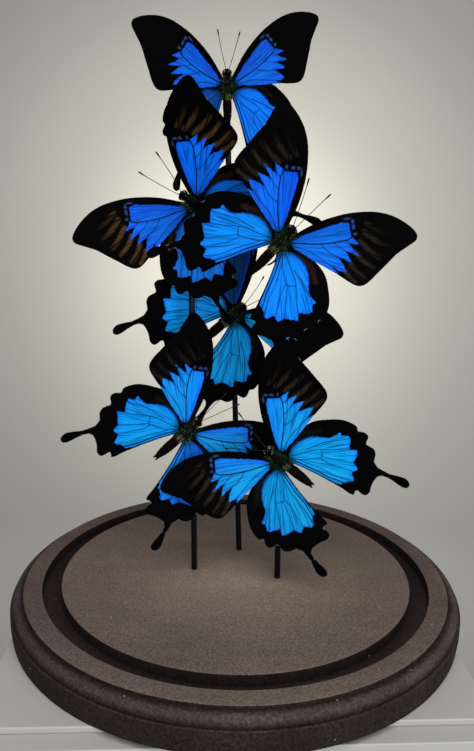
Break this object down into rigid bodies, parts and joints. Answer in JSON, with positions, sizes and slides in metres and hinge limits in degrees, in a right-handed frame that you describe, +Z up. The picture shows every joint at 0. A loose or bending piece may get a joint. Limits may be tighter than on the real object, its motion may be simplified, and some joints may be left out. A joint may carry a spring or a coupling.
{
  "type": "butterflies mounted on a display dome base",
  "caption": "Blue swallowtail butterflies with spread wings, mounted one above another on thin black rods that stand in a round turned base with a ring groove for a dome.",
  "frame": {"origin": "centre of the base's underside, on the surface that it stands on", "axes": "+Z up along the rods, and the butterflies show their upper sides towards -Y"},
  "size_m": [0.2506, 0.2506, 0.326],
  "materials": {
    "base": "matte dark grey-brown stain",
    "rod": "satin black",
    "forewing": "iridescent blue scales on velvet black",
    "hindwing": "iridescent blue scales on velvet black",
    "body": "matte dark brown with fine hair"
  },
  "bodies": {
    "root": {"base": "base", "rod_left": "rod", "rod_back": "rod", "rod_right": "rod", "butterfly_1_body": "body", "butterfly_1_forewing_left": "forewing", "butterfly_1_forewing_right": "forewing", "butterfly_1_hindwing_left": "hindwing", "butterfly_1_hindwing_right": "hindwing", "butterfly_2_body": "body", "butterfly_2_forewing_left": "forewing", "butterfly_2_forewing_right": "forewing", "butterfly_2_hindwing_left": "hindwing", "butterfly_2_hindwing_right": "hindwing", "butterfly_3_body": "body", "butterfly_3_forewing_left": "forewing", "butterfly_3_forewing_right": "forewing", "butterfly_3_hindwing_left": "hindwing", "butterfly_3_hindwing_right": "hindwing", "butterfly_4_body": "body", "butterfly_4_forewing_left": "forewing", "butterfly_4_forewing_right": "forewing", "butterfly_4_hindwing_left": "hindwing", "butterfly_4_hindwing_right": "hindwing", "butterfly_5_body": "body", "butterfly_5_forewing_left": "forewing", "butterfly_5_forewing_right": "forewing", "butterfly_5_hindwing_left": "hindwing", "butterfly_5_hindwing_right": "hindwing", "butterfly_6_body": "body", "butterfly_6_forewing_left": "forewing", "butterfly_6_forewing_right": "forewing", "butterfly_6_hindwing_left": "hindwing", "butterfly_6_hindwing_right": "hindwing"}
  },
  "joints": []
}
